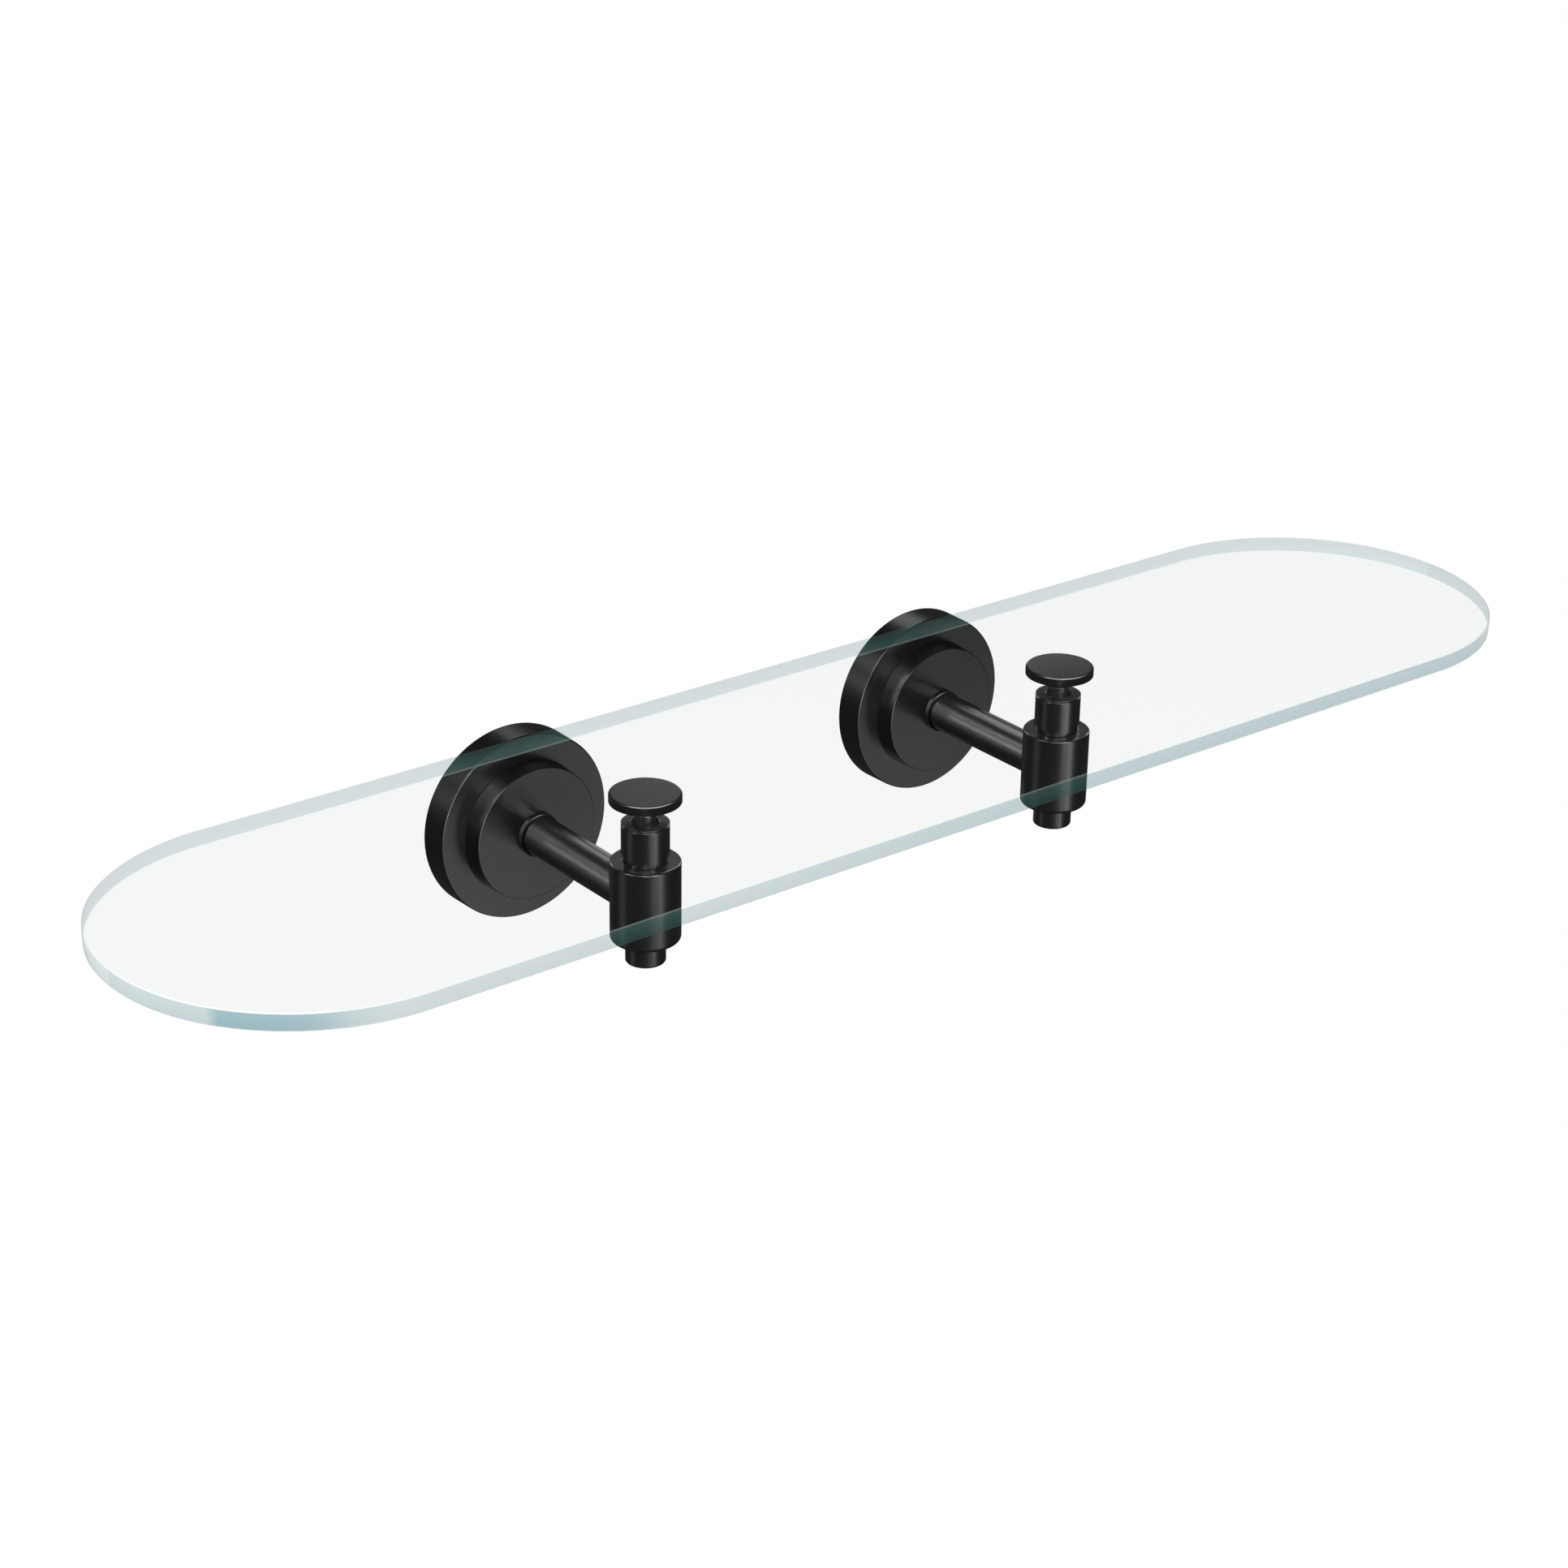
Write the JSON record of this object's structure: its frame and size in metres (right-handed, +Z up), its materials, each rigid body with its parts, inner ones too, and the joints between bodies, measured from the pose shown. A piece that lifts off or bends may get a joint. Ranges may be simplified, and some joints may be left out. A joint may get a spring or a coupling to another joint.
{
  "type": "wall shelf with brackets",
  "caption": "Long clear glass wall shelf with half-round ends, clamped by flat knobs onto black metal brackets that each stand on a round stepped wall flange.",
  "frame": {"origin": "on the wall's face, midway between the two brackets, at the height of the arms' axes", "axes": "+X along the shelf to the right as seen from the room, +Y into the wall, +Z up"},
  "size_m": [0.56, 0.1666, 0.0719],
  "materials": {
    "black_metal": "satin black",
    "glass": "clear, polished edge",
    "clear_plastic": "clear, soft",
    "black_rubber": "matte",
    "zinc_steel": "zinc plated",
    "grey_plastic": "moulded"
  },
  "bodies": {
    "frame": {"glass_shelf": "glass", "left_wall_plate": "zinc_steel", "left_wall_screw_upper": "zinc_steel", "left_wall_screw_lower": "zinc_steel", "left_wall_anchor_upper": "grey_plastic", "left_wall_anchor_lower": "grey_plastic", "left_flange": "black_metal", "left_flange_set_screw": "zinc_steel", "left_flange_disc": "black_metal", "left_arm_collar": "black_metal", "left_arm": "black_metal", "left_arm_screw": "zinc_steel", "left_arm_lock_washer": "zinc_steel", "left_post_body": "black_metal", "left_post_neck": "black_metal", "left_post_foot": "black_metal", "left_post_rod": "black_metal", "left_seat_washer": "black_rubber", "left_glass_sleeve": "clear_plastic", "right_wall_plate": "zinc_steel", "right_wall_screw_upper": "zinc_steel", "right_wall_screw_lower": "zinc_steel", "right_wall_anchor_upper": "grey_plastic", "right_wall_anchor_lower": "grey_plastic", "right_flange": "black_metal", "right_flange_set_screw": "zinc_steel", "right_flange_disc": "black_metal", "right_arm_collar": "black_metal", "right_arm": "black_metal", "right_arm_screw": "zinc_steel", "right_arm_lock_washer": "zinc_steel", "right_post_body": "black_metal", "right_post_neck": "black_metal", "right_post_foot": "black_metal", "right_post_rod": "black_metal", "right_seat_washer": "black_rubber", "right_glass_sleeve": "clear_plastic"},
    "left_washer": {"left_knob_washer": "clear_plastic"},
    "left_knob": {"left_knob_head": "black_metal", "left_knob_screw": "black_metal"},
    "right_washer": {"right_knob_washer": "clear_plastic"},
    "right_knob": {"right_knob_head": "black_metal", "right_knob_screw": "black_metal"}
  },
  "joints": [
    {"name": "left_knob_rise", "type": "slide", "parent": "frame", "child": "left_washer", "axis": [0, 0, 1], "range_m": [0, 0.007]},
    {"name": "left_knob_turn", "type": "hinge", "parent": "left_washer", "child": "left_knob", "pos_m": [-0.0893, -0.0799, 0.0351], "axis": [0, 0, 1], "range_deg": [0, 3600]},
    {"name": "right_knob_rise", "type": "slide", "parent": "frame", "child": "right_washer", "axis": [0, 0, 1], "range_m": [0, 0.007]},
    {"name": "right_knob_turn", "type": "hinge", "parent": "right_washer", "child": "right_knob", "pos_m": [0.0893, -0.0799, 0.0351], "axis": [0, 0, 1], "range_deg": [0, 3600]}
  ],
  "couplings": [
    {"joint": "left_knob_rise", "follows": "left_knob_turn", "m_per_rad": 0.0001114},
    {"joint": "right_knob_rise", "follows": "right_knob_turn", "m_per_rad": 0.0001114}
  ]
}
